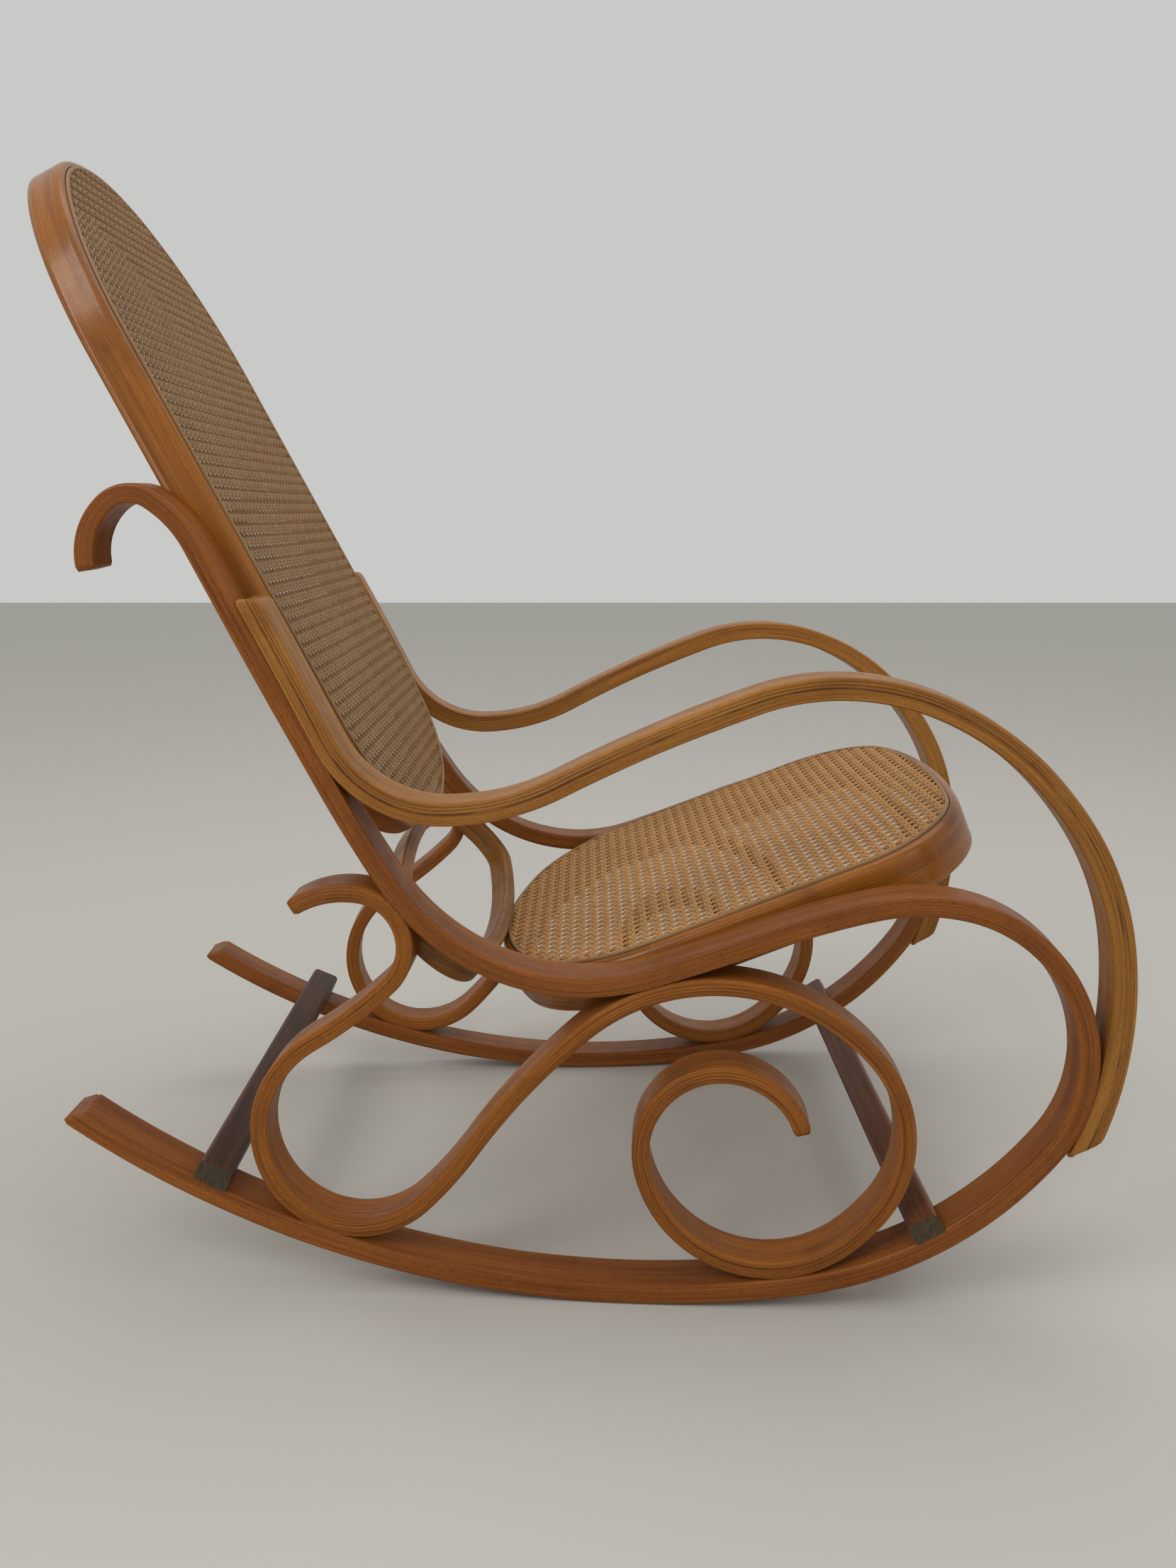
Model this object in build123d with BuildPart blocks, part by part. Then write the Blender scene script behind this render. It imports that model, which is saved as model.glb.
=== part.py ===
from build123d import *
from math import atan2, cos, degrees, radians, sin, sqrt
import os

# Bentwood rocking chair with a woven cane back and seat.
# Millimetres, +Z up, +X to the front of the chair, +Y to its left.
# The origin is on the floor, under the middle of the chair.
# Most places are given in a level frame (x, z) whose origin stands above the floor near the
# middle of the chair. Each side of the chair lies in one plane that toes out to the front.

# --- driving dimensions ---------------------------------------------------------------------
FRAME_X = 43.52              # the level frame's origin, forward of the chair's middle
FRAME_Z = 690.434            # and above the floor, so that the runners just touch it
HALF_WIDTH = 256.0           # outer face of a side, at the level frame's origin
TOE_OUT = 0.06               # how much wider each side gets per unit forward
SPLAY = 0.02                 # and per unit upward
ARRIS = 3.0                  # rounding along the edges of every bent strip

SIDE_WIDTH, SIDE_THICKNESS = 38.0, 17.5
ARM_WIDTH, ARM_THICKNESS = 38.0, 20.3
SCROLL_WIDTH, SCROLL_THICKNESS, SCROLL_INSET = 36.0, 15.4, 1.0

# Bent strips: where the centre line starts, the way it heads in degrees, and its bends as
# (radius, turn in degrees), a positive turn being to the left of the way it runs.
SIDE_START, SIDE_HEADING = (-434.8, -49.2), 104.0
SIDE_BENDS = [
    (59, -62.0), (32, -73.5), (105, -30.5),                           # hook above the arm
    (9500, 1.5), (1120, 4.5), (201, 74.0),                            # back rail into the seat
    (2500, 2.5), (710, -7.5),                                         # seat rail
    (178, -24.0), (129, -86.5), (130, -31.0), (348, -42.0),           # front bulge
    (910, -42.5),                                                     # runner
]
TAIL_BEVEL, TAIL_NIB = 50.0, 5.0              # slanted cut at a runner's rear tip, in degrees

ARM_TOP_CUT = 2.0            # upper end cut level, this far below the start of its centre line
ARM_FOOT_BEVEL = 40.0        # slanted cut at the lower end, from the way it runs, in degrees
ARM_START, ARM_HEADING = (-296.6, -71.6), -61.0
ARM_BENDS = [
    (4100, -2.0), (113, 64.0), (228, 26.5),                           # down the back, then forward
    (1400, -7.5), (213, -42.0), (242, -28.5), (336, -5.0),            # over the front of the arm
    (238, -28.0), (333, -33.0),                                       # down to the front bulge
]

SCROLL_START, SCROLL_HEADING = (-260.5, -344.6), 33.0
SCROLL_BENDS = [
    (87, -41.0), (47, -128.0), (382, -13.0),                          # loop behind the seat
    (107, 30.0), (86, 162.5),                                         # round on to the runner
    (343, 11.0), (610, -14.0),                                        # rising under the seat
    (179, -89.0), (107.5, -82.0), (204, -9.0), (110, -117.0),         # big loop
    (72, -158.0), (60, -22.0),                                        # small end loop
]

# Hoops: a point of the level frame, and the slope of the hoop's local y in degrees. Local y
# runs down the back to its foot, up the seat to its front, and down the brace to the seat.
# Shapes: half width, then for each end its reach and the radii of its middle and its corners.
BACK_ORIGIN, BACK_SLOPE = (-250.2, -135.9), -61.5
BACK_HALF_WIDTH, BACK_DEPTH, BACK_WALL = 199.0, 37.0, 22.0
BACK_FOOT, BACK_TOP = (200.0, 310.0, 120.0), (563.0, 176.0, 250.0)

SEAT_ORIGIN, SEAT_SLOPE = (133.7, -353.9), 20.7
SEAT_HALF_WIDTH, SEAT_DEPTH, SEAT_WALL = 218.0, 43.0, 24.0
SEAT_FRONT, SEAT_REAR = (246.0, 700.0, 120.0), (241.0, 342.0, 142.0)

BRACE_ORIGIN, BRACE_SLOPE = (-140.6, -388.3), -42.0
BRACE_HALF_WIDTH, BRACE_WIDTH, BRACE_THICKNESS = 209.5, 25.0, 15.0
BRACE_END = (71.5, 820.0, 55.5)
BRACE_SCREW_WALL = 193.0     # local x of the brace's inner wall at its screws

NOSE = 7.0                   # rounding of a hoop's outer edge on the cane side
HOOP_ARRIS = 4.0             # rounding of its other edges
RIM = 8.0                    # from a hoop's outer edge to its spline groove
GROOVE_WIDTH, GROOVE_DEPTH = 5.0, 6.0
CANE_THICKNESS, CANE_SKIRT = 2.2, 1.2         # the skirt is folded down into the groove
SPLINE_PROUD, SPLINE_ROUND = 2.6, 1.5         # spline above the hoop, and its rounded edges

# Crossbars: distance along the side members, size along and across the runner.
REAR_BAR_AT, REAR_BAR_SIZE = 2088.0, (31.0, 19.0)
FRONT_BAR_AT, FRONT_BAR_SIZE = 1430.0, (28.0, 18.0)
BAR_HALF_LENGTH = 320.0      # before its ends are cut flush with the sides
BAR_BEDDING = 1.0            # planed off a bar where it sits on the curved runner
BAR_ARRIS, BAR_CROWN = 1.5, 5.0               # rounding of a bar's lower and upper edges

# Countersunk wood screws.
HEAD_RADIUS, HEAD_HEIGHT, HEAD_SINK = 4.2, 3.2, 1.2
SHANK_RADIUS, POINT_LENGTH = 2.2, 6.0
SLOT_WIDTH, SLOT_DEPTH = 1.2, 1.3
RECESS = 8.0                 # clear way above a sunk head

# Where the screws go: distance along a strip, and the side of the strip that the head is on,
# 1 for the left of the way it runs and -1 for the right.
ARM_SCREWS, ARM_SCREW_LENGTH = [(40, 1), (115, 1), (1108, 1), (1140, 1)], 33.0
SCROLL_SCREWS, SCROLL_SCREW_LENGTH = [(94, -1), (463, 1), (846, -1), (1300, -1)], 28.0
BAR_SCREW_LENGTH = 30.0
# and on a hoop: local y, and how far behind its face.
BACK_SCREWS, BACK_SCREW_LENGTH = [(-45.0, 28.5), (65.0, 28.5)], 44.0
SEAT_SCREWS, SEAT_SCREW_LENGTH = [(-92.0, 12.0), (-42.0, 16.0)], 44.0
BRACE_SCREWS, BRACE_SCREW_LENGTH = [(-26.0, 0.0)], 36.0

# --- planes ---------------------------------------------------------------------------------
CENTRE = Plane(origin=(FRAME_X, 0, FRAME_Z), x_dir=(1, 0, 0), z_dir=(0, -1, 0))
RIGHT_SIDE = Plane(
    origin=(FRAME_X, -HALF_WIDTH, FRAME_Z), x_dir=(1, -TOE_OUT, 0), z_dir=(-TOE_OUT, -1, -SPLAY)
)
LEFT_SIDE = Plane(
    origin=(FRAME_X, HALF_WIDTH, FRAME_Z), x_dir=(1, TOE_OUT, 0), z_dir=(-TOE_OUT, 1, -SPLAY)
)


def hoop_plane(place, slope):
    """Plane of a hoop: local x to the chair's right, local y along the slope."""
    normal = (-sin(radians(slope)), 0, cos(radians(slope)))
    return Plane(origin=CENTRE.from_local_coords(place), x_dir=(0, -1, 0), z_dir=normal)


BACK_PLANE = hoop_plane(BACK_ORIGIN, BACK_SLOPE)
SEAT_PLANE = hoop_plane(SEAT_ORIGIN, SEAT_SLOPE)
BRACE_PLANE = hoop_plane(BRACE_ORIGIN, BRACE_SLOPE)


# --- bent strips ----------------------------------------------------------------------------
def bent_path(start, heading, bends):
    """Centre line on the right side's plane: tangent arcs one after another."""
    direction = RIGHT_SIDE.x_dir.rotate(Axis((0, 0, 0), RIGHT_SIDE.z_dir), heading)
    point = RIGHT_SIDE.from_local_coords(start)
    with BuildLine(RIGHT_SIDE, mode=Mode.PRIVATE) as path:
        for radius, turn in bends:
            arc = JernArc(start=point, tangent=direction, radius=radius, arc_size=turn)
            point, direction = arc @ 1, arc % 1
    return Wire(path.edges())


def bent_strip(path, width, thickness, inset=0.0):
    """Strip swept along a centre line, from the side's outer face inwards."""
    across = Plane(origin=path @ 0, x_dir=RIGHT_SIDE.z_dir, z_dir=path % 0)
    with BuildSketch(across, mode=Mode.PRIVATE) as section:
        with Locations((-inset - width / 2, 0)):
            RectangleRounded(width, thickness, ARRIS)
    sweep(sections=section.sketch, path=path)


def station(path, distance, width, inset=0.0):
    """Point in the middle of a strip's width, its direction there, and the way to its left."""
    point = path.position_at(distance, position_mode=PositionMode.LENGTH)
    along = path.tangent_at(distance, position_mode=PositionMode.LENGTH)
    return point - RIGHT_SIDE.z_dir * (inset + width / 2), along, RIGHT_SIDE.z_dir.cross(along)


SIDE_PATH = bent_path(SIDE_START, SIDE_HEADING, SIDE_BENDS)
ARM_PATH = bent_path(ARM_START, ARM_HEADING, ARM_BENDS)
SCROLL_PATH = bent_path(SCROLL_START, SCROLL_HEADING, SCROLL_BENDS)


# --- hoops ----------------------------------------------------------------------------------
def end_arcs(half_width, end):
    """Turn of an end's corner arcs, and how far the end goes past their centres."""
    reach, middle, corner = end
    aside = half_width - corner
    along = sqrt((middle - corner) ** 2 - aside**2)
    turn = degrees(atan2(along, abs(aside)))
    return turn, middle + along if middle < corner else middle - along


def hoop_outline(half_width, front, rear, grow):
    """Face inside two straight sides and two three-centred ends, all moved out by grow."""
    side = half_width + grow
    front_turn, front_past = end_arcs(half_width, front)
    rear_turn, rear_past = end_arcs(half_width, rear)
    high, low = front[0] - front_past, rear_past - rear[0]
    with BuildLine(mode=Mode.PRIVATE) as outline:
        Line((side, low), (side, high))
        arc = JernArc(start=(side, high), tangent=(0, 1), radius=front[2] + grow, arc_size=front_turn)
        arc = JernArc(arc @ 1, arc % 1, radius=front[1] + grow, arc_size=180 - 2 * front_turn)
        JernArc(arc @ 1, arc % 1, radius=front[2] + grow, arc_size=front_turn)
        Line((-side, high), (-side, low))
        arc = JernArc(start=(-side, low), tangent=(0, -1), radius=rear[2] + grow, arc_size=rear_turn)
        arc = JernArc(arc @ 1, arc % 1, radius=rear[1] + grow, arc_size=180 - 2 * rear_turn)
        JernArc(arc @ 1, arc % 1, radius=rear[2] + grow, arc_size=rear_turn)
    return make_face(outline.edges(), mode=Mode.PRIVATE)


BACK_SHAPE = (BACK_HALF_WIDTH, BACK_FOOT, BACK_TOP)
SEAT_SHAPE = (SEAT_HALF_WIDTH, SEAT_FRONT, SEAT_REAR)
BRACE_SHAPE = (BRACE_HALF_WIDTH, BRACE_END, BRACE_END)


def slab(plane, shape, inset, low, high, mode=Mode.ADD):
    """Plate inside a hoop's outline moved in by inset, from low to high along its normal."""
    with BuildSketch(plane.offset(low), mode=Mode.PRIVATE) as sheet:
        add(hoop_outline(*shape, grow=-inset))
    extrude(to_extrude=sheet.sketch, amount=high - low, mode=mode)


def groove_ring(plane, shape, outer, inner, low, high):
    """Ring between two insets of a hoop's outline."""
    with BuildPart(mode=Mode.PRIVATE) as ring:
        slab(plane, shape, outer, low, high)
        slab(plane, shape, inner, low, high, mode=Mode.SUBTRACT)
    return ring.part


def cane_hoop(plane, shape, depth, wall):
    """Bent hoop with a rounded outer nose and a groove for the spline."""
    out = Axis(plane.origin, plane.z_dir)
    slab(plane, shape, 0, -depth, 0)
    fillet(faces().sort_by(out)[-1].edges(), NOSE)
    fillet(faces().sort_by(out)[0].edges(), HOOP_ARRIS)
    slab(plane, shape, wall, -depth, 0, mode=Mode.SUBTRACT)
    fillet(faces().sort_by(out)[0].inner_wires()[0].edges(), HOOP_ARRIS)
    add(groove_ring(plane, shape, RIM, RIM + GROOVE_WIDTH, -GROOVE_DEPTH, 0), mode=Mode.SUBTRACT)


def cane_panel(plane, shape):
    """Cane sheet over the opening, with its edge folded down into the groove."""
    fold = RIM + GROOVE_WIDTH - CANE_SKIRT
    slab(plane, shape, fold, 0, CANE_THICKNESS)
    add(groove_ring(plane, shape, fold, RIM + GROOVE_WIDTH, -GROOVE_DEPTH, 0))


def spline_ring(plane, shape):
    """Reed pressed into the groove beside the cane, its top edges rounded."""
    out = Axis(plane.origin, plane.z_dir)
    fold = RIM + GROOVE_WIDTH - CANE_SKIRT
    add(groove_ring(plane, shape, RIM, fold, -GROOVE_DEPTH, SPLINE_PROUD))
    fillet(faces().sort_by(out)[-1].edges(), SPLINE_ROUND)


# --- screws ---------------------------------------------------------------------------------
def turned(plane, *points):
    """Solid turned round a plane's normal from a profile of (radius, height) points."""
    side = Plane(origin=plane.origin, x_dir=plane.x_dir, z_dir=-plane.y_dir)
    with BuildSketch(side, mode=Mode.PRIVATE) as profile:
        Polygon(*points, align=None)
    revolve(profiles=profile.sketch, axis=Axis(plane.origin, plane.z_dir))


def screws(spots, length):
    """Screws and the holes that they need; a spot is a surface point and the way out of it."""
    shank = [(SHANK_RADIUS, -HEAD_HEIGHT), (SHANK_RADIUS, POINT_LENGTH - length), (0, -length)]
    with BuildPart(mode=Mode.PRIVATE) as metal:
        for place, out in spots:
            plane = Plane(origin=place - out * HEAD_SINK, z_dir=out)
            turned(plane, (0, 0), (HEAD_RADIUS, 0), *shank)
            with BuildSketch(plane, mode=Mode.PRIVATE) as slot:
                Rectangle(2 * HEAD_RADIUS + SLOT_WIDTH, SLOT_WIDTH)
            extrude(to_extrude=slot.sketch, amount=-SLOT_DEPTH, mode=Mode.SUBTRACT)
        mirror(metal.part, about=Plane.XZ)
    with BuildPart(mode=Mode.PRIVATE) as holes:
        for place, out in spots:
            plane = Plane(origin=place - out * HEAD_SINK, z_dir=out)
            turned(plane, (0, RECESS), (HEAD_RADIUS, RECESS), (HEAD_RADIUS, 0), *shank)
        mirror(holes.part, about=Plane.XZ)
    return metal.part, holes.part


def strip_spots(path, stops, width, thickness, inset=0.0):
    """Screw spots on the faces of a bent strip on the chair's right."""
    spots = []
    for distance, side in stops:
        middle, _, left = station(path, distance, width, inset)
        spots.append((middle + left * (side * thickness / 2), left * side))
    return spots


def hoop_spots(plane, inner_half_width, stops):
    """Screw spots on the inner wall of a hoop, on the chair's right."""
    inward = Vector(0, 1, 0)
    return [(plane.from_local_coords((inner_half_width, y, -behind)), inward) for y, behind in stops]


arm_metal, arm_holes = screws(
    strip_spots(ARM_PATH, ARM_SCREWS, ARM_WIDTH, ARM_THICKNESS), ARM_SCREW_LENGTH
)
scroll_metal, scroll_holes = screws(
    strip_spots(SCROLL_PATH, SCROLL_SCREWS, SCROLL_WIDTH, SCROLL_THICKNESS, SCROLL_INSET),
    SCROLL_SCREW_LENGTH,
)
bar_stops = [(REAR_BAR_AT, 1), (FRONT_BAR_AT, 1)]
bar_metal, bar_holes = screws(
    strip_spots(SIDE_PATH, bar_stops, SIDE_WIDTH, SIDE_THICKNESS), BAR_SCREW_LENGTH
)
back_metal, back_holes = screws(
    hoop_spots(BACK_PLANE, BACK_HALF_WIDTH - BACK_WALL, BACK_SCREWS), BACK_SCREW_LENGTH
)
seat_metal, seat_holes = screws(
    hoop_spots(SEAT_PLANE, SEAT_HALF_WIDTH - SEAT_WALL, SEAT_SCREWS), SEAT_SCREW_LENGTH
)
brace_metal, brace_holes = screws(
    hoop_spots(BRACE_PLANE, BRACE_SCREW_WALL, BRACE_SCREWS), BRACE_SCREW_LENGTH
)


def drill(*holes):
    """Cut screw holes out of the open part."""
    for hole in holes:
        add(hole, mode=Mode.SUBTRACT)


def cut_away(*parts):
    """Fit the open part against parts that it bears on."""
    for part in parts:
        add(part, mode=Mode.SUBTRACT)


def keep(part, name):
    """Name a finished sub-part and write it."""
    part.label = name
    export_step(part, f"parts/{name}.step")


# --- sub-parts ------------------------------------------------------------------------------
os.makedirs("parts", exist_ok=True)

# Side members: hook, back rail, seat rail, front bulge and runner bent from one strip.
tail, tail_way, tail_left = station(SIDE_PATH, SIDE_PATH.length, SIDE_WIDTH)
tail_tip = tail + tail_left * (SIDE_THICKNESS / 2 - TAIL_NIB)
tail_cut = (-tail_way).rotate(Axis((0, 0, 0), RIGHT_SIDE.z_dir), TAIL_BEVEL)
with BuildPart() as side_member_right:
    bent_strip(SIDE_PATH, SIDE_WIDTH, SIDE_THICKNESS)
    split(bisect_by=Plane(origin=tail_tip, x_dir=tail_cut, z_dir=tail_cut.cross(RIGHT_SIDE.z_dir)))
    drill(arm_holes, scroll_holes, bar_holes, back_holes, seat_holes)
keep(side_member_right.part, "side_member_right")
with BuildPart() as side_member_left:
    mirror(side_member_right.part, about=Plane.XZ)
keep(side_member_left.part, "side_member_left")
both_sides = (side_member_right.part, side_member_left.part)

# Arms: the upper end is cut level, the lower end is cut back from the side member, and both
# ends lie flat on it.
arm_top = RIGHT_SIDE.from_local_coords((ARM_START[0], ARM_START[1] - ARM_TOP_CUT))
foot, foot_way, foot_left = station(ARM_PATH, ARM_PATH.length, ARM_WIDTH)
foot_tip = foot - foot_left * (ARM_THICKNESS / 2)
foot_cut = (-foot_way).rotate(Axis((0, 0, 0), RIGHT_SIDE.z_dir), -ARM_FOOT_BEVEL)
with BuildPart() as arm_right:
    bent_strip(ARM_PATH, ARM_WIDTH, ARM_THICKNESS)
    split(bisect_by=Plane(origin=arm_top, z_dir=(0, 0, -1)))
    split(bisect_by=Plane(origin=foot_tip, x_dir=foot_cut, z_dir=RIGHT_SIDE.z_dir.cross(foot_cut)))
    cut_away(side_member_right.part)
    drill(arm_holes)
keep(arm_right.part, "arm_right")
with BuildPart() as arm_left:
    mirror(arm_right.part, about=Plane.XZ)
keep(arm_left.part, "arm_left")

# Scrolls: they bear on the side member at four places.
with BuildPart() as scroll_right:
    bent_strip(SCROLL_PATH, SCROLL_WIDTH, SCROLL_THICKNESS, SCROLL_INSET)
    cut_away(side_member_right.part)
    drill(scroll_holes, brace_holes)
keep(scroll_right.part, "scroll_right")
with BuildPart() as scroll_left:
    mirror(scroll_right.part, about=Plane.XZ)
keep(scroll_left.part, "scroll_left")

# Crossbars: they lie on the runners and end flush with the outer faces of the sides.
for bar_name, bar_at, (bar_wide, bar_high) in (
    ("rear_crossbar", REAR_BAR_AT, REAR_BAR_SIZE),
    ("front_crossbar", FRONT_BAR_AT, FRONT_BAR_SIZE),
):
    foot, way, left = station(SIDE_PATH, bar_at, SIDE_WIDTH)
    middle = foot - left * ((SIDE_THICKNESS + bar_high) / 2 - BAR_BEDDING)
    flat = Plane(origin=(middle.X, 0, middle.Z), x_dir=(-way.X, 0, -way.Z), z_dir=(0, -1, 0))
    with BuildPart() as crossbar:
        with BuildSketch(flat):
            Rectangle(bar_wide, bar_high)
            fillet(vertices().group_by(Axis.Y)[0], BAR_ARRIS)
            fillet(vertices().group_by(Axis.Y)[-1], BAR_CROWN)
        extrude(amount=BAR_HALF_LENGTH, both=True)
        split(bisect_by=RIGHT_SIDE, keep=Keep.BOTTOM)
        split(bisect_by=LEFT_SIDE, keep=Keep.BOTTOM)
        cut_away(*both_sides)
        drill(bar_holes)
    keep(crossbar.part, bar_name)

# Back: hoop, cane and spline.
with BuildPart() as back_frame:
    cane_hoop(BACK_PLANE, BACK_SHAPE, BACK_DEPTH, BACK_WALL)
    cut_away(*both_sides, arm_right.part, arm_left.part)
    drill(back_holes)
keep(back_frame.part, "back_frame")
with BuildPart() as back_cane:
    cane_panel(BACK_PLANE, BACK_SHAPE)
keep(back_cane.part, "back_cane")
with BuildPart() as back_spline:
    spline_ring(BACK_PLANE, BACK_SHAPE)
keep(back_spline.part, "back_spline")

# Seat: hoop, cane and spline.
with BuildPart() as seat_frame:
    cane_hoop(SEAT_PLANE, SEAT_SHAPE, SEAT_DEPTH, SEAT_WALL)
    cut_away(*both_sides, scroll_right.part, scroll_left.part)
    drill(seat_holes)
keep(seat_frame.part, "seat_frame")
with BuildPart() as seat_cane:
    cane_panel(SEAT_PLANE, SEAT_SHAPE)
keep(seat_cane.part, "seat_cane")
with BuildPart() as seat_spline:
    spline_ring(SEAT_PLANE, SEAT_SHAPE)
keep(seat_spline.part, "seat_spline")

# Brace: hoop across the gap under the back, let into the scrolls and against the seat.
with BuildPart() as hoop_brace:
    slab(BRACE_PLANE, BRACE_SHAPE, 0, -BRACE_WIDTH / 2, BRACE_WIDTH / 2)
    slab(
        BRACE_PLANE, BRACE_SHAPE, BRACE_THICKNESS, -BRACE_WIDTH / 2, BRACE_WIDTH / 2,
        mode=Mode.SUBTRACT,
    )
    rims = faces().filter_by(BRACE_PLANE).edges()
    fillet(rims, ARRIS)
    cut_away(*both_sides, scroll_right.part, scroll_left.part, seat_frame.part, seat_spline.part)
    drill(brace_holes)
keep(hoop_brace.part, "hoop_brace")

# Screws, one node for each kind of joint.
for screw_name, metal in (
    ("arm_screws", arm_metal),
    ("scroll_screws", scroll_metal),
    ("crossbar_screws", bar_metal),
    ("back_screws", back_metal),
    ("seat_screws", seat_metal),
    ("brace_screws", brace_metal),
):
    keep(metal, screw_name)
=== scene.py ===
import bpy
import numpy as np
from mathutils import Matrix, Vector


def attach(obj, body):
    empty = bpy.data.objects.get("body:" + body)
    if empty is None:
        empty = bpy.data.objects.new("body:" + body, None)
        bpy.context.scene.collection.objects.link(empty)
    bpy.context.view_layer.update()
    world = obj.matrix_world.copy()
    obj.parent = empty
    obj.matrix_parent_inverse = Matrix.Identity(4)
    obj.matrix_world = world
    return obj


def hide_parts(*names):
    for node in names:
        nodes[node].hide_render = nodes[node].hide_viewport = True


# Bentwood rocking chair with a woven cane back and seat. Metres.
# A bent strip is a section carried along tangent arcs in the plane of a side; a hoop is a
# section carried round a closed outline; cane is flat strands that rise and dip as they cross.

MM = 0.001
FRAME = np.array([0.04352, 0.0, 0.690434])      # where the side drawings have their zero
HALF_WIDTH = 0.256           # from the middle to the outer face of a side, at FRAME
TOE_OUT, SPLAY = 0.06, 0.02  # a side's drift outward per metre forward and per metre up
SOFT_END = 1.6 * MM          # length over which a strip's end is eased
SOFT_DEPTH = 1.2 * MM        # how far its arrises draw in there
SOFT_EDGE = 3.2 * MM         # width of the band along each arris that draws in

SIDE = dict(
    width=38, thickness=17.5, inset=0, start=(-434.8, -49.2), heading=104,
    bends=[(59, -62), (32, -73.5), (105, -30.5), (9500, 1.5), (1120, 4.5), (201, 74), (2500, 2.5),
           (710, -7.5), (178, -24), (129, -86.5), (130, -31), (348, -42), (910, -42.5)])
ARM = dict(
    width=38, thickness=20.3, inset=0, start=(-296.6, -71.6), heading=-61,
    bends=[(4100, -2), (113, 64), (228, 26.5), (1400, -7.5), (213, -42), (242, -28.5), (336, -5),
           (238, -28), (333, -33)])
SCROLL = dict(
    width=36, thickness=15.4, inset=1, start=(-260.5, -344.6), heading=33,
    bends=[(87, -41), (47, -128), (382, -13), (107, 30), (86, 162.5), (343, 11), (610, -14),
           (179, -89), (107.5, -82), (204, -9), (110, -117), (72, -158), (60, -22)])

# Hoops: foot and top each give their reach, then the middle and the corner radius.
BACK = dict(origin=(-250.2, -135.9), slope=-61.5, half=199,
            foot=(200, 310, 120), top=(563, 176, 250))
SEAT = dict(origin=(133.7, -353.9), slope=20.7, half=218,
            foot=(246, 700, 120), top=(241, 342, 142))
BRACE = dict(origin=(-140.6, -388.3), slope=-42, half=209.5,
             foot=(71.5, 820, 55.5), top=(71.5, 820, 55.5))

PITCH = 12.5 * MM            # of the cane's holes
STRAND = 2.75 * MM           # width of a strand
PAIR = 1.5 * MM              # from the middle of a pair to each of its strands
STRAND_THICKNESS = 1.1 * MM
STRAND_RISE = 1.15 * MM      # of uprights and rows where they cross
DIAGONAL_RISE = 0.85 * MM
CANE_MARGIN = 10.5 * MM      # from a hoop's outline to the strands' ends
REACH = 0.62                 # metres that the strands are laid out to each way

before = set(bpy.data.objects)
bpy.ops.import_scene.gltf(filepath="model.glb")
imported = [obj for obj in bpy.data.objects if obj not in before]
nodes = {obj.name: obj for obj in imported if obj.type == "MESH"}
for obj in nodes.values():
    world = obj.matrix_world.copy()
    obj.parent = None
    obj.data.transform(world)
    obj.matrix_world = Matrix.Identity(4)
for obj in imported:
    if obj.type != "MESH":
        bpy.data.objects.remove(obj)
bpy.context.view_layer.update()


# --- shapes ---------------------------------------------------------------------------------
def solid(name, points, faces, uv):
    """Smooth mesh in the scene, with uv giving each face corner's place in the grain."""
    mesh = bpy.data.meshes.new(name)
    mesh.from_pydata(points, [], faces)
    layer = mesh.uv_layers.new(name="grain")
    layer.data.foreach_set("uv", uv.astype(np.float32).reshape(-1))
    mesh.polygons.foreach_set("use_smooth", np.ones(len(faces), bool))
    mesh.update()
    piece = bpy.data.objects.new(name, mesh)
    bpy.context.scene.collection.objects.link(piece)
    return face_out(piece)


def run_round(points):
    """Distance travelled round a closed line of points, from 0 to its whole length."""
    steps = np.linalg.norm(np.diff(points, axis=0, append=points[:1]), axis=1)
    return np.concatenate([[0], np.cumsum(steps)])


def surface(name, points, u, v, closed_u=False):
    """Skin over a grid of points (along, round), closed round. It is also closed along, or else
    has a flat end face at each end. u and v are the grid's pattern coordinates; v has one more
    column than the points, for the seam."""
    along, around = points.shape[:2]
    rows = np.arange(along if closed_u else along - 1)
    i, j = np.meshgrid(rows, np.arange(around), indexing="ij")
    i2, j2 = (i + 1) % along, (j + 1) % around
    quads = np.stack([i * around + j, i2 * around + j, i2 * around + j2, i * around + j2], -1)
    iu = np.stack([i, i + 1, i + 1, i], -1).reshape(-1)
    jv = np.stack([j, j, j + 1, j + 1], -1).reshape(-1)
    faces = quads.reshape(-1, 4).tolist()
    uv = np.stack([u[iu], v[jv]], -1)
    if not closed_u:
        first = np.arange(around)
        last = first[::-1] + (along - 1) * around
        faces += [first.tolist(), last.tolist()]
        loop = v[:-1]
        first_uv = np.stack([0 * loop + u[0], loop], -1)
        last_uv = np.stack([0 * loop + u[-1], loop[::-1]], -1)
        uv = np.concatenate([uv, first_uv, last_uv])
    return solid(name, points.reshape(-1, 3), faces, uv)


def face_out(piece):
    """Turns the faces outward where the enclosed volume comes out negative."""
    mesh = piece.data
    mesh.calc_loop_triangles()
    corner = np.zeros(len(mesh.vertices) * 3)
    mesh.vertices.foreach_get("co", corner)
    tri = np.zeros(len(mesh.loop_triangles) * 3, int)
    mesh.loop_triangles.foreach_get("vertices", tri)
    a, b, c = np.moveaxis(corner.reshape(-1, 3)[tri.reshape(-1, 3)], 1, 0)
    if (a * np.cross(b, c)).sum() < 0:
        mesh.flip_normals()
    return piece


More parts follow.
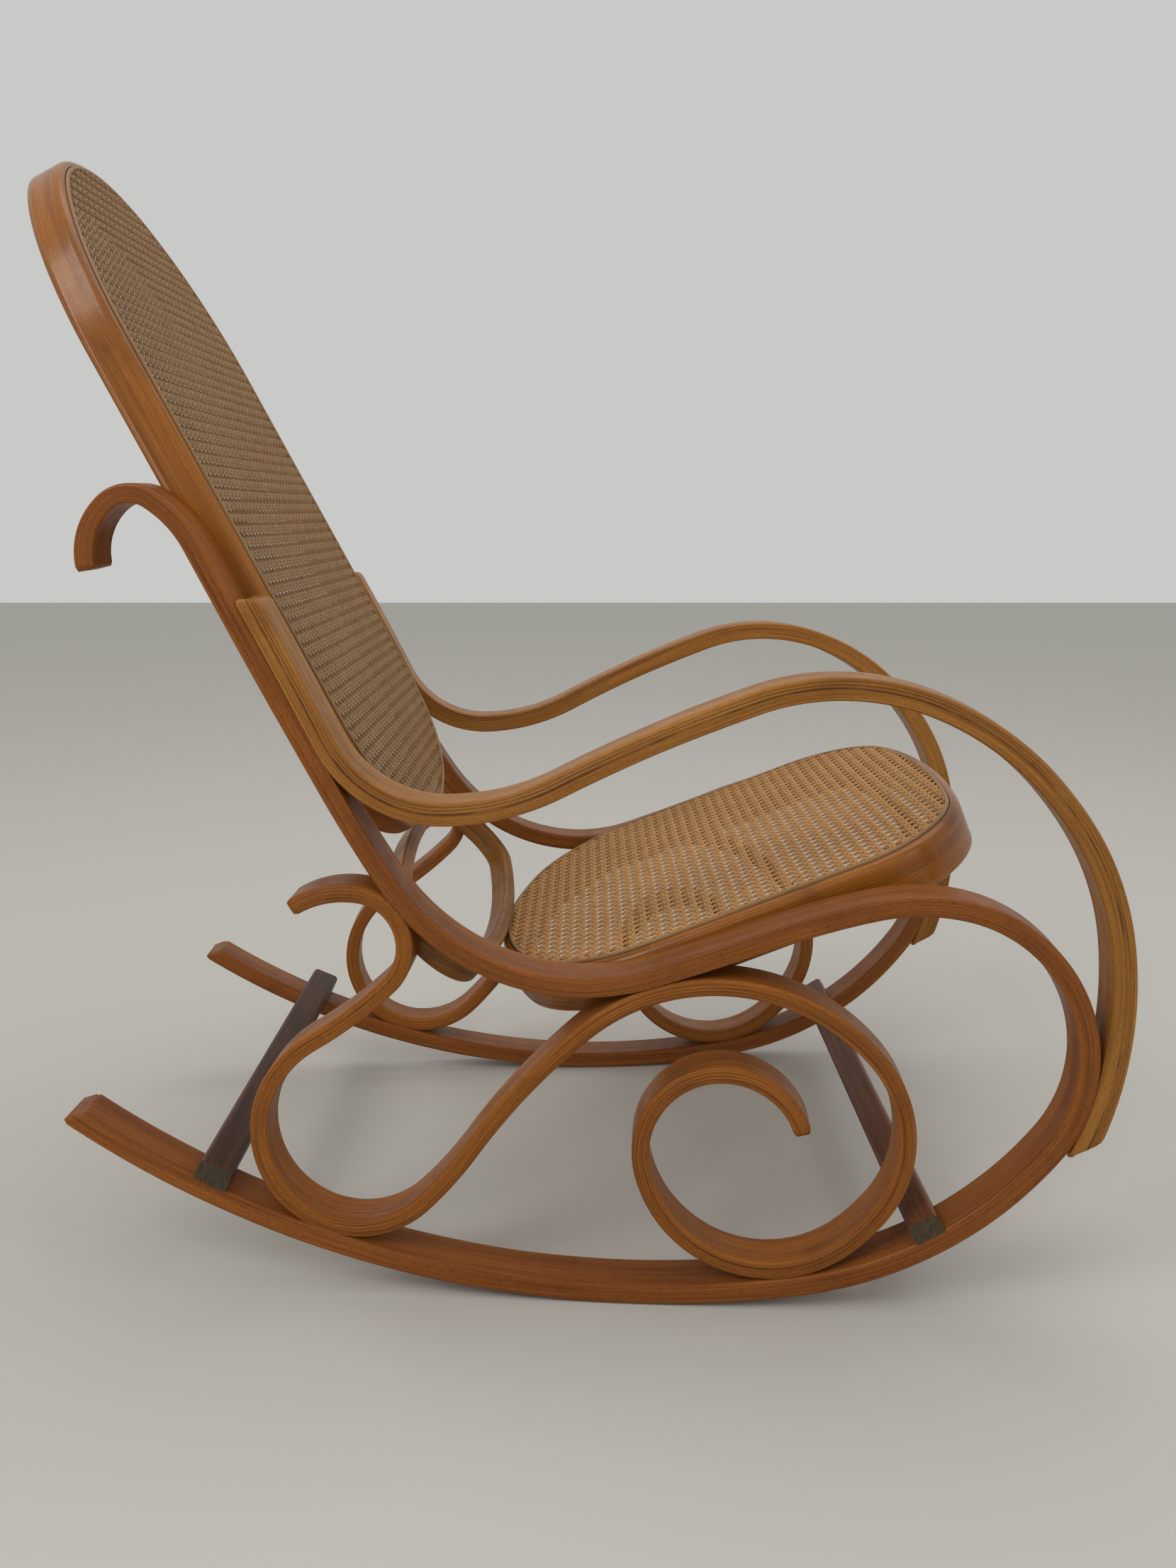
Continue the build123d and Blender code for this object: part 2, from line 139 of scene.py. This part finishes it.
def rounded(width, height, radius, beads=(), fine=14):
    """Section (across, up) round a rectangle from (0, -height/2) to (width, height/2) with
    rounded corners. Each bead (up, depth, spread) sinks both side faces by depth times a bell
    curve of up."""
    turn = np.linspace(0, np.pi / 2, 6)
    half = height / 2
    rise = np.linspace(-half + radius, half - radius, 4 * fine if beads else fine)[1:-1]
    run = np.linspace(radius, width - radius, fine)[1:-1]
    low, high = -half + radius, half - radius
    across = np.concatenate([
        0 * rise, radius - radius * np.cos(turn), run, width - radius + radius * np.sin(turn),
        0 * rise + width, width - radius + radius * np.cos(turn), run[::-1],
        radius - radius * np.sin(turn)])
    up = np.concatenate([
        rise, high + radius * np.sin(turn), 0 * run + half, high + radius * np.cos(turn),
        rise[::-1], low - radius * np.sin(turn), 0 * run - half, low - radius * np.cos(turn)])
    sink = sum((d * np.exp(-(((up - at) / s) ** 2)) for at, d, s in beads), 0 * up)
    away = np.clip((width / 2 - across) / (width / 2 - radius), -1, 1)
    return np.stack([across + np.round(away, 3).astype(int) * sink, up], -1)


def arcs(start, heading, bends, step):
    """Points, headings and distance along tangent arcs. Each arc turns by an angle at a radius:
    x goes up by radius times the change in sin(heading), y down by radius times the change in
    cos(heading)."""
    x, y = np.array(start) * MM
    h = np.radians(heading)
    points, ways, gone, total = [], [], [], 0.0
    for radius, turn in bends:
        bend = np.sign(turn) / (radius * MM)
        length = radius * MM * np.radians(abs(turn))
        n = int(max(2, np.ceil(length / step), np.ceil(abs(turn) / 4)))
        s = np.linspace(0, length, n + 1)
        a = h + bend * s
        along_x, along_y = (np.sin(a) - np.sin(h)) / bend, (np.cos(a) - np.cos(h)) / bend
        points.append(np.stack([x + along_x, y - along_y], -1))
        ways.append(a)
        gone.append(total + s)
        x, y = points[-1][-1]
        h, total = a[-1], total + length
    keep = [slice(0, -1)] * (len(bends) - 1) + [slice(None)]
    return [np.concatenate([p[k] for p, k in zip(part, keep)]) for part in (points, ways, gone)]


def strip(name, shape, hand, beads=(), start_cut=None, end_cut=None, arris=3.0, step=4.0):
    """Section carried along the arcs of a bent strip on one side of the chair; hand is -1 for
    the right. A cut gives, for each height in the section, how far the end is drawn back. The
    section's height wanders by about 1 percent along the strip, as hand-finished wood does, and
    its arrises draw in over the last stretch before each end."""
    points, ways, gone = arcs(shape["start"], shape["heading"], shape["bends"], step * MM)
    beads = [tuple(q * MM for q in bead) for bead in beads]
    section = rounded(shape["width"] * MM, shape["thickness"] * MM, arris * MM, beads)
    across, up = section[:, 0], section[:, 1]
    total = gone[-1]
    begin = start_cut(up) if start_cut else 0 * up
    finish = total - (end_cut(up) if end_cut else 0 * up)
    s = np.clip(gone[:, None], begin[None], finish[None])
    px, py, way = (np.interp(s, gone, q) for q in (points[:, 0], points[:, 1], ways))
    wander = 1 + 0.008 * np.sin(23 * s + 1.3) + 0.006 * np.sin(51 * s)
    lift = up[None] * wander
    ends = np.minimum(s - begin, finish - s)
    soft = np.clip(1 - ends / SOFT_END, 0, 1) * SOFT_DEPTH
    middle = shape["width"] * MM / 2
    by_side = np.abs(across - middle) > middle - SOFT_EDGE
    by_face = np.abs(up) > up.max() - SOFT_EDGE
    across_in = across[None] + np.sign(middle - across)[None] * soft * by_side[None]
    lift = lift - np.sign(up)[None] * soft * by_face[None]
    x = px - np.sin(way) * lift
    y = py + np.cos(way) * lift
    inward = shape["inset"] * MM + across_in
    xhat = np.array([1, TOE_OUT * hand, 0])
    out = np.array([-TOE_OUT, hand, -SPLAY])
    xhat, out = xhat / np.linalg.norm(xhat), out / np.linalg.norm(out)
    yhat = np.cross(out, xhat) * -hand
    origin = FRAME + [0, hand * HALF_WIDTH, 0]
    place = origin + x[..., None] * xhat + y[..., None] * yhat - inward[..., None] * out
    return surface(name, place, gone, run_round(section))


def outline(shape, step=3.0):
    """Points, outward normals and distance round a hoop: two straight sides joined by
    three-centred ends, each a middle arc between two equal corner arcs."""
    half = shape["half"]

    def corner(end):
        """Turn of a corner arc, and where the straight side ends."""
        reach, middle, small = end
        along = np.sqrt((middle - small) ** 2 - (half - small) ** 2)
        rise = middle + along if middle < small else middle - along
        return np.arctan2(along, abs(half - small)), reach - rise

    (front_turn, high), (rear_turn, low) = corner(shape["foot"]), corner(shape["top"])
    spot, way = np.array([half, -low]), np.pi / 2
    runs = [(0, high + low)]
    ends = ((shape["foot"], front_turn, high + low), (shape["top"], rear_turn, 0))
    for (_, middle, small), turn, straight in ends:
        runs += [(small, turn), (middle, np.pi - 2 * turn), (small, turn), (0, straight)]
    points, normals = [], []
    for radius, turn in runs:
        length = radius * turn if radius else turn
        if length <= 0:
            continue
        n = int(np.ceil(max(length / step, turn / 0.06 if radius else 0)))
        s = np.linspace(0, length, n + 1)[:-1]
        a = way + (s / radius if radius else 0 * s)
        if radius:
            centre = spot + radius * np.array([-np.sin(way), np.cos(way)])
            points.append(centre + radius * np.stack([np.sin(a), -np.cos(a)], -1))
            way = way + turn
            spot = centre + radius * np.array([np.sin(way), -np.cos(way)])
        else:
            points.append(spot + s[:, None] * [np.cos(way), np.sin(way)])
            spot = spot + length * np.array([np.cos(way), np.sin(way)])
        normals.append(np.stack([np.sin(a), -np.cos(a)], -1))
    points, normals = np.concatenate(points), np.concatenate(normals)
    return points * MM, normals, run_round(points) * MM


def on_plane(shape, flat, high):
    """Places of points (x, y) and heights on a hoop's sloping plane; x runs to the right."""
    slope = np.radians(shape["slope"])
    px, pz = shape["origin"]
    origin = FRAME + [px * MM, 0, pz * MM]
    xhat, yhat = np.array([0, -1, 0]), np.array([np.cos(slope), 0, np.sin(slope)])
    up = np.array([-np.sin(slope), 0, np.cos(slope)])
    return origin + flat[..., :1] * xhat + flat[..., 1:] * yhat + high[..., None] * up


def ring(name, shape, section):
    """Section (inset, height) carried round a hoop's outline."""
    points, normals, gone = outline(shape)
    section = np.array(section) * MM
    flat = points[:, None] - normals[:, None] * section[None, :, :1]
    high = np.broadcast_to(section[None, :, 1], flat.shape[:2])
    return surface(name, on_plane(shape, flat, high), gone, run_round(section), closed_u=True)


def bend(centre, radius, first, last, n=7):
    """Arc of a section from one angle to another, in degrees."""
    a = np.radians(np.linspace(first, last, n))
    return [(centre[0] + radius * c, centre[1] + radius * s) for c, s in zip(np.cos(a), np.sin(a))]


def hoop_section(depth, wall):
    """Rounded nose, a groove for the reed, then the inner wall and two eased lower edges."""
    nose, ease, lip = 7.0, 4.0, 1.2
    low = -depth + ease
    groove = [(7.4, 0), (7.8, -2.4), (12.8, -2.4), (13.2, 0)]
    flank = [(0, h) for h in np.linspace(low, -nose, 12)]
    inner = [(wall, h) for h in np.linspace(-lip, low, 12)]
    return (flank[:-1] + bend((nose, -nose), nose, 180, 90) + groove
            + bend((wall - lip, -lip), lip, 90, 0, 4) + inner[1:-1]
            + bend((wall - ease, low), ease, 0, -90) + bend((ease, low), ease, -90, -180))


# --- cane -----------------------------------------------------------------------------------
def sag(shape, flat, depth):
    """How far the cane hangs below flat: depth times (1 - x squared)(1 - y squared), with x and y
    running to 1 at the hoop."""
    x, y = flat[..., 0] / (shape["half"] * MM), flat[..., 1] / (shape["reach"] * MM)
    return -depth * np.clip(1 - x ** 2, 0, 1) * np.clip(1 - y ** 2, 0, 1)


def strands(name, shape, tilt, offsets, lift, step, dish, width):
    """Parallel flat strands across a hoop, cut off at a margin inside its outline. tilt is their
    direction; offsets place them sideways; lift(along, index) is the rise at each point, dish the
    depth of the sag. Each strand is a narrow four-sided section with a point at every step."""
    points, normals, _ = outline(shape, 2.0)
    edge = points - normals * CANE_MARGIN
    way = np.array([np.cos(tilt), np.sin(tilt)])
    side = np.array([-way[1], way[0]])
    along, aside = edge @ way, edge @ side
    verts, faces, uvs, base = [], [], [], 0
    section = np.array([(-0.5, -0.42), (0.5, -0.42), (0.34, 0.42), (-0.34, 0.42)])
    for k, at in enumerate(offsets):
        low = aside - at
        nxt = np.roll(low, -1)
        hit = np.nonzero(low * nxt < 0)[0]
        if len(hit) < 2:
            continue
        f = low[hit] / (low[hit] - nxt[hit])
        cross = along[hit] + f * (np.roll(along, -1)[hit] - along[hit])
        a, b = cross.min(), cross.max()
        if b - a < 3 * step:
            continue
        t = np.arange(np.ceil(a / step), np.floor(b / step) + 1) * step
        t = np.concatenate([[a], t[(t > a + 0.2 * step) & (t < b - 0.2 * step)], [b]])
        flat = t[:, None, None] * way + (at + section[None, :, :1] * width) * side
        high = lift(t, k)[:, None] + section[None, :, 1] * STRAND_THICKNESS + STRAND_THICKNESS
        n = len(t)
        i, j = np.meshgrid(np.arange(n - 1), np.arange(4), indexing="ij")
        j2 = (j + 1) % 4
        quad = np.stack([i * 4 + j, i * 4 + j2, i * 4 + 4 + j2, i * 4 + 4 + j], -1).reshape(-1, 4)
        ends = np.array([[3, 2, 1, 0], [n * 4 - 4, n * 4 - 3, n * 4 - 2, n * 4 - 1]])
        quad = np.concatenate([quad, ends])
        uvs.append(np.stack([t[quad // 4], k + 0.12 + 0.25 * (quad % 4)], -1).reshape(-1, 2))
        verts.append(on_plane(shape, flat, high + sag(shape, flat, dish)).reshape(-1, 3))
        faces.append(quad + base)
        base += 4 * n
    return solid(name, np.concatenate(verts), np.concatenate(faces).tolist(), np.concatenate(uvs))


def weave(name, shape, node, material, slot, dish):
    """Six-way cane: pairs of uprights and of rows that pass over and under each other, and two
    diagonals that rise and dip as a cosine, each strand opposite to its neighbours."""
    shape = dict(shape, reach=max(shape["foot"][0], shape["top"][0]))
    span = int(REACH / PITCH)
    pair = np.array([-1, 1])
    middles = np.arange(-span, span + 1)
    places = (middles[:, None] * PITCH + pair * PAIR).reshape(-1)
    hands = np.tile(pair, len(middles))

    def rise(t):
        """Over one strand of a crossing pair and under the other: sin(turn) (1 + cos(turn)) / 2,
        which is flat between pairs."""
        turn = 2 * np.pi * t / PITCH
        return STRAND_RISE * np.sin(turn) * (1 + np.cos(turn)) / 2

    slant = PITCH * np.sqrt(2)
    diagonal = (np.arange(-2 * span, 2 * span + 1) + 0.5) * PITCH / np.sqrt(2)

    def wave(t, k):
        """A cosine with one rise and one dip for each diagonal of a cell."""
        return DIAGONAL_RISE * np.cos(2 * np.pi * t / slant + np.pi * k + np.pi / 2)

    quarter, slim = np.pi / 4, 0.92 * STRAND
    kinds = (
        ("uprights", np.pi / 2, -places, lambda t, k: hands[k] * rise(t), PITCH / 6, STRAND),
        ("rows", 0.0, places, lambda t, k: -hands[k] * rise(t), PITCH / 6, STRAND),
        ("diagonals_rising", quarter, diagonal, wave, slant / 8, slim),
        ("diagonals_falling", -quarter, diagonal, wave, slant / 8, slim),
    )
    for kind, tilt, offsets, lift, step, width in kinds:
        piece = strands(f"{name}_{kind}", shape, tilt, offsets, lift, step, dish, width)
        dress(piece, material, slot, node)


# --- materials ------------------------------------------------------------------------------
class Value:
    """A socket; arithmetic on it adds Math nodes."""

    def __init__(self, paint, socket):
        self.paint, self.socket = paint, socket

    def math(self, how, *others):
        inputs = dict(enumerate((self, *others)))
        return self.paint.add("ShaderNodeMath", dict(operation=how), inputs)

    def __add__(self, o): return self.math("ADD", o)
    def __sub__(self, o): return self.math("SUBTRACT", o)
    def __mul__(self, o): return self.math("MULTIPLY", o)
    def __rsub__(self, o): return self.paint.number(o).math("SUBTRACT", self)
    __radd__, __rmul__ = __add__, __mul__

    def step(self, low, high):
        """0 below low, 1 above high and smooth between."""
        keys = {"Value": self, "From Min": low, "From Max": high}
        return self.paint.add("ShaderNodeMapRange", dict(interpolation_type="SMOOTHSTEP"), keys)


class Paint:
    """A material being built."""

    def __init__(self, name):
        self.material = bpy.data.materials.new(name)
        self.material.use_nodes = True
        self.tree = self.material.node_tree
        self.tree.nodes.clear()

    def put(self, socket, value):
        if isinstance(value, Value):
            self.tree.links.new(value.socket, socket)
        elif hasattr(value, "__len__") and len(value) == 3 and socket.type == "RGBA":
            socket.default_value = (*value, 1.0)
        else:
            socket.default_value = value

    def add(self, kind, settings=None, inputs=None, out=0):
        """Node of a type, its settings, then its inputs; returns one output."""
        node = self.tree.nodes.new(kind)
        for key, value in (settings or {}).items():
            setattr(node, key, value)
        for key, value in (inputs or {}).items():
            self.put(node.inputs[key], value)
        return Value(self, node.outputs[out])

    def number(self, value):
        return self.add("ShaderNodeMath", dict(operation="ADD"), {0: value, 1: 0.0})

    def mix(self, mask, a, b):
        """a where the mask is 0 and b where it is 1, as colours."""
        return self.add("ShaderNodeMix", dict(data_type="RGBA"), {0: mask, 6: a, 7: b}, out=2)

    def noise(self, where, scale, detail=3.0, rough=0.55):
        keys = {"Vector": where, "Scale": scale, "Detail": detail, "Roughness": rough}
        return self.add("ShaderNodeTexNoise", {}, keys)

    def parts(self, where):
        """The three numbers of a vector."""
        first = self.add("ShaderNodeSeparateXYZ", {}, {0: where})
        return [Value(self, s) for s in first.socket.node.outputs]

    def vector(self, x, y, z):
        return self.add("ShaderNodeCombineXYZ", {}, {0: x, 1: y, 2: z})

    def grain(self):
        """Along and round the piece, in metres."""
        return self.parts(self.add("ShaderNodeUVMap", dict(uv_map="grain"), {}))

    def place(self):
        return self.add("ShaderNodeTexCoord", {}, {}, out=3)

    def finish(self, colour, rough, height=None, depth=0.2 * MM, coat=0.0, coat_rough=0.1,
               metal=0.0):
        """The finished material; height is its relief, up to depth metres."""
        keys = {"Base Color": colour, "Roughness": rough, "Coat Weight": coat,
                "Coat Roughness": coat_rough, "Metallic": metal, "Specular IOR Level": 0.18}
        if height is not None:
            relief = {"Height": height, "Distance": depth, "Strength": 1.0}
            keys["Normal"] = self.add("ShaderNodeBump", {}, relief)
        shader = self.add("ShaderNodeBsdfPrincipled", {}, keys)
        out = self.tree.nodes.new("ShaderNodeOutputMaterial")
        self.tree.links.new(shader.socket, out.inputs[0])
        return self.material


def bentwood(name, light, deep, edge, seed, lines=(), fleck=0.5, gloss=0.36, cloud=0.5,
             coat=0.08):
    """Lacquered bent beech: long soft streaks, short dark flecks, cloudy patches of stain, and
    darker lines (round, width, strength) that follow the strip."""
    p = Paint(name)
    u, v, _ = p.grain()
    place = p.place()
    streaks = p.noise(p.vector(u * 7, v * 700, seed), 1.0, 5.0, 0.65)
    broad = p.noise(p.vector(u * 3.2, v * 60, seed + 3), 1.0, 3.0, 0.5)
    dashes = p.noise(p.vector(u * 170, v * 1500, seed + 7), 1.0, 2.0, 0.5)
    patches = p.noise(place, 9.0, 4.0, 0.6)
    dull = p.noise(place, 55.0, 3.0, 0.6)
    tone = streaks.step(0.36, 0.64) * 0.6 + broad.step(0.35, 0.65) * 0.4
    colour = p.mix(tone, deep, light)
    colour = p.mix(patches.step(0.52, 0.78) * cloud, colour, edge)
    flecks = dashes.step(0.56, 0.68)
    colour = p.mix(flecks * fleck, colour, tuple(0.42 * c for c in deep))
    height = streaks * 0.3 - flecks * 0.5 + dull * 0.25
    for at, wide, strength in lines:
        wobble = p.noise(p.vector(u * 14, at * 100, seed), 1.0, 2.0) * 0.9 * MM
        off = (v - at * MM + wobble - 0.45 * MM).math("ABSOLUTE")
        line = 1 - off.step(0.25 * wide * MM, wide * MM)
        patchy = p.noise(p.vector(u * 22, at, seed + 9), 1.0, 3.0).step(0.32, 0.6)
        dark = tuple(0.34 * c for c in deep)
        colour = p.mix(line * strength * (0.35 + patchy * 0.65), colour, dark)
    rough = gloss + dull.step(0.35, 0.75) * 0.14 + patches * 0.06
    return p.finish(colour, rough, height, 0.12 * MM, coat, 0.16)


def stained_bar(name, light, deep, end, seed):
    """Dark stained bar with its grain along Y and a dull sawn end."""
    p = Paint(name)
    x, y, z = p.parts(p.place())
    fibres = p.noise(p.vector(x * 260, y * 9, z * 260), 1.0, 4.0, 0.6)
    wear = p.noise(p.vector(x * 30, y * 12, z * 30), 1.0, 4.0, 0.6)
    saw = p.noise(p.vector(x * 900, seed, z * 120), 1.0, 3.0, 0.6)
    normal = p.add("ShaderNodeNewGeometry", {}, {}, out=1)
    _, facing, _ = p.parts(normal)
    cut = facing.math("ABSOLUTE").step(0.7, 0.9)
    colour = p.mix(fibres.step(0.3, 0.7), deep, light)
    colour = p.mix(wear.step(0.55, 0.8) * 0.5, colour, tuple(1.5 * c for c in light))
    sawn = p.mix(saw.step(0.35, 0.7), tuple(0.45 * c for c in end), end)
    colour = p.mix(cut, colour, sawn)
    height = fibres * (1 - cut) * 0.6 + saw * cut
    rough = 0.36 + wear * 0.16 + cut * 0.3
    return p.finish(colour, rough, height, 0.25 * MM, 0.15, 0.25)


def cane(name, light, mid, deep, seed):
    """Peeled rattan skin: each strand has its own tone, with nodes and fine lines along it."""
    p = Paint(name)
    u, v, _ = p.grain()
    strand = v.math("FLOOR")
    own = p.add("ShaderNodeTexWhiteNoise", dict(noise_dimensions="2D"),
                {"Vector": p.vector(strand, seed, 0.0)})
    tone = p.noise(p.vector(u * 16, strand * 3.7, seed), 1.0, 3.0)
    fibres = p.noise(p.vector(u * 40, v * 22, seed + 5), 1.0, 3.0)
    joint = p.noise(p.vector(u * 120, strand * 5.1, seed + 2), 1.0, 1.0).step(0.66, 0.74)
    stain = p.noise(p.place(), 14.0, 4.0, 0.6)
    colour = p.mix(own * 0.45 + tone.step(0.3, 0.7) * 0.55, mid, light)
    colour = p.mix(stain.step(0.5, 0.8) * 0.45, colour, mid)
    colour = p.mix(fibres.step(0.52, 0.8) * 0.45 + joint * 0.4, colour, deep)
    rough = 0.42 + tone * 0.2
    return p.finish(colour, rough, fibres + joint * 0.6, 0.1 * MM, 0.1, 0.3)


def reed(name, light, deep, seed):
    """Smooth reed with fine lines along it."""
    p = Paint(name)
    u, v, _ = p.grain()
    lines = p.noise(p.vector(u * 6, v * 900, seed), 1.0, 3.0)
    patch = p.noise(p.place(), 25.0, 3.0)
    colour = p.mix(lines.step(0.3, 0.7), deep, light)
    colour = p.mix(patch.step(0.55, 0.8) * 0.4, colour, tuple(0.5 * c for c in deep))
    return p.finish(colour, 0.4 + patch * 0.15, lines, 0.08 * MM, 0.2, 0.2)


def steel(name):
    """Dull steel screw with turning marks."""
    p = Paint(name)
    marks = p.noise(p.place(), 900.0, 3.0)
    colour = p.mix(marks.step(0.35, 0.7), (0.22, 0.2, 0.18), (0.4, 0.38, 0.35))
    return p.finish(colour, 0.35 + marks * 0.2, marks, 0.05 * MM, metal=1.0)


def cover(piece, material):
    """Makes a finish the piece's only one."""
    piece.data.materials.clear()
    piece.data.materials.append(material)


def dress(piece, material, slot, *replaced):
    """Gives a piece its finish, lets it ride on the chair and stand for CAD nodes."""
    cover(piece, material)
    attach(piece, "root")
    if replaced:
        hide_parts(*replaced)


side_wood = bentwood(
    "side_wood", (0.32, 0.1, 0.014), (0.15, 0.042, 0.006), (0.09, 0.022, 0.005), 1.0,
    lines=[(2.7, 0.5, 0.5)], fleck=0.6)
arm_wood = bentwood(
    "arm_wood", (0.42, 0.18, 0.032), (0.19, 0.066, 0.01), (0.12, 0.034, 0.007), 4.0,
    lines=[(7.6, 1.6, 0.8), (11.0, 0.7, 0.55)])
scroll_wood = bentwood(
    "scroll_wood", (0.36, 0.12, 0.014), (0.16, 0.046, 0.006), (0.1, 0.025, 0.005), 8.0,
    lines=[(2.2, 0.8, 0.7), (5.2, 0.6, 0.5), (8.4, 0.6, 0.45)])
hoop_wood = bentwood(
    "hoop_wood", (0.36, 0.125, 0.014), (0.18, 0.054, 0.006), (0.07, 0.02, 0.004), 12.0,
    fleck=0.3, gloss=0.24, cloud=0.75, coat=0.3)
brace_wood = bentwood(
    "brace_wood", (0.34, 0.15, 0.03), (0.15, 0.052, 0.012), (0.07, 0.022, 0.007), 15.0,
    cloud=0.7)
rear_bar = stained_bar(
    "rear_bar_wood", (0.085, 0.029, 0.01), (0.03, 0.011, 0.005), (0.085, 0.062, 0.034), 2.0)
front_bar = stained_bar(
    "front_bar_wood", (0.17, 0.052, 0.014), (0.08, 0.022, 0.007), (0.1, 0.07, 0.036), 5.0)
back_weave = cane("back_cane", (0.36, 0.21, 0.095), (0.24, 0.13, 0.052), (0.1, 0.045, 0.018), 3.0)
seat_weave = cane("seat_cane", (0.56, 0.30, 0.115), (0.38, 0.19, 0.065), (0.15, 0.065, 0.022), 6.0)
reed_finish = reed("reed", (0.34, 0.2, 0.085), (0.2, 0.105, 0.04), 4.0)
screw_finish = steel("screw_steel")

# --- pieces ---------------------------------------------------------------------------------
# Grooves along the strips: height in the section, depth and spread, in millimetres.
arm_beads = [(6.3, 0.7, 0.55), (3.4, 0.5, 0.45), (-7.2, 0.35, 0.5)]
scroll_beads = [(5.2, 0.6, 0.5), (2.2, 0.35, 0.4), (-1.2, 0.3, 0.4), (-4.8, 0.55, 0.5)]
side_beads = [(-5.9, 0.25, 0.4)]


def level_cut(up):
    """Upper end of an arm: drawn back so that it is cut level."""
    return np.maximum(0, (2 * MM + 0.485 * up) / 0.875)


def tail_cut(up):
    """Rear tip of a runner: the upper face slopes down to a small nib."""
    return np.maximum(0, (3.75 * MM - up) * 0.839)


def foot_cut(up):
    """Lower end of an arm: slanted back from the side member."""
    return (up + 10.15 * MM) * 1.192


for hand, side in ((-1, "right"), (1, "left")):
    member = strip(f"{side}_side_member", SIDE, hand, side_beads, end_cut=tail_cut)
    dress(member, side_wood, "side_wood", f"side_member_{side}")
    arm = strip(f"{side}_arm", ARM, hand, arm_beads, start_cut=level_cut, end_cut=foot_cut)
    dress(arm, arm_wood, "arm_wood", f"arm_{side}")
    scroll = strip(f"{side}_scroll", SCROLL, hand, scroll_beads)
    dress(scroll, scroll_wood, "scroll_wood", f"scroll_{side}")

dress(ring("back_hoop", BACK, hoop_section(37, 22)), hoop_wood, "hoop_wood", "back_frame")
dress(ring("seat_hoop", SEAT, hoop_section(43, 24)), hoop_wood, "hoop_wood", "seat_frame")
dress(ring("brace", BRACE, rounded(15, 25, 3)), brace_wood, "brace_wood", "hoop_brace")
reed_section = ([(8.1, -2.2)] + bend((9.6, 1.1), 1.5, 180, 90, 5)
                + bend((10.3, 1.1), 1.5, 90, 0, 5) + [(11.8, -2.2)])
dress(ring("back_reed", BACK, reed_section), reed_finish, "reed", "back_spline")
dress(ring("seat_reed", SEAT, reed_section), reed_finish, "reed", "seat_spline")
weave("back_weave", BACK, "back_cane", back_weave, "back_cane", 2.0 * MM)
weave("seat_weave", SEAT, "seat_cane", seat_weave, "seat_cane", 3.5 * MM)

cover(nodes["rear_crossbar"], rear_bar)
cover(nodes["front_crossbar"], front_bar)
for joint in ("arm", "scroll", "crossbar", "back", "seat", "brace"):
    cover(nodes[f"{joint}_screws"], screw_finish)


# --- room and camera ------------------------------------------------------------------------
def panel(name, corners, material):
    """Flat part of the room."""
    mesh = bpy.data.meshes.new(name)
    mesh.from_pydata(corners, [], [(0, 1, 2, 3)])
    mesh.materials.append(material)
    piece = bpy.data.objects.new(name, mesh)
    bpy.context.scene.collection.objects.link(piece)


def lamp(name, place, aim, size, power, tint=(1, 1, 1)):
    """Soft rectangular light."""
    light = bpy.data.lights.new(name, "AREA")
    light.shape, light.size, light.size_y = "RECTANGLE", *size
    light.energy, light.color = power, tint
    holder = bpy.data.objects.new(name, light)
    holder.location = place
    holder.rotation_euler = (Vector(aim) - Vector(place)).to_track_quat("-Z", "Y").to_euler()
    bpy.context.scene.collection.objects.link(holder)


pale_floor = Paint("pale_floor").finish((0.56, 0.54, 0.5), 0.8)
panel("floor", [(-6, -4, 0), (6, -4, 0), (6, 8, 0), (-6, 8, 0)], pale_floor)
world = bpy.data.worlds.new("soft_light")
world.use_nodes = True
glow = world.node_tree.nodes["Background"]
glow.inputs[0].default_value = (0.86, 0.87, 0.85, 1)
glow.inputs[1].default_value = 0.68
bpy.context.scene.world = world
lamp("window", (-1.6, -1.8, 2.3), (0, 0, 0.4), (1.4, 1.4), 30, (1.0, 0.98, 0.95))
lamp("sky", (0.6, 0.4, 2.9), (0, 0, 0.3), (2.2, 2.2), 20)
lamp("fill", (2.2, -1.4, 1.2), (0, 0, 0.4), (1.2, 1.6), 6)

camera = bpy.data.cameras.new("camera")
camera.sensor_width = 36
camera.lens = 36 * 1700 / 2212
camera.shift_y = -308 / 2212
eye = bpy.data.objects.new("camera", camera)
eye.location = (0.04352, -1.267, 0.690434)
eye.rotation_euler = (np.radians(90 - 2.5), 0, 0)
bpy.context.scene.collection.objects.link(eye)
bpy.context.scene.camera = eye
bpy.context.scene.view_settings.view_transform = "Standard"
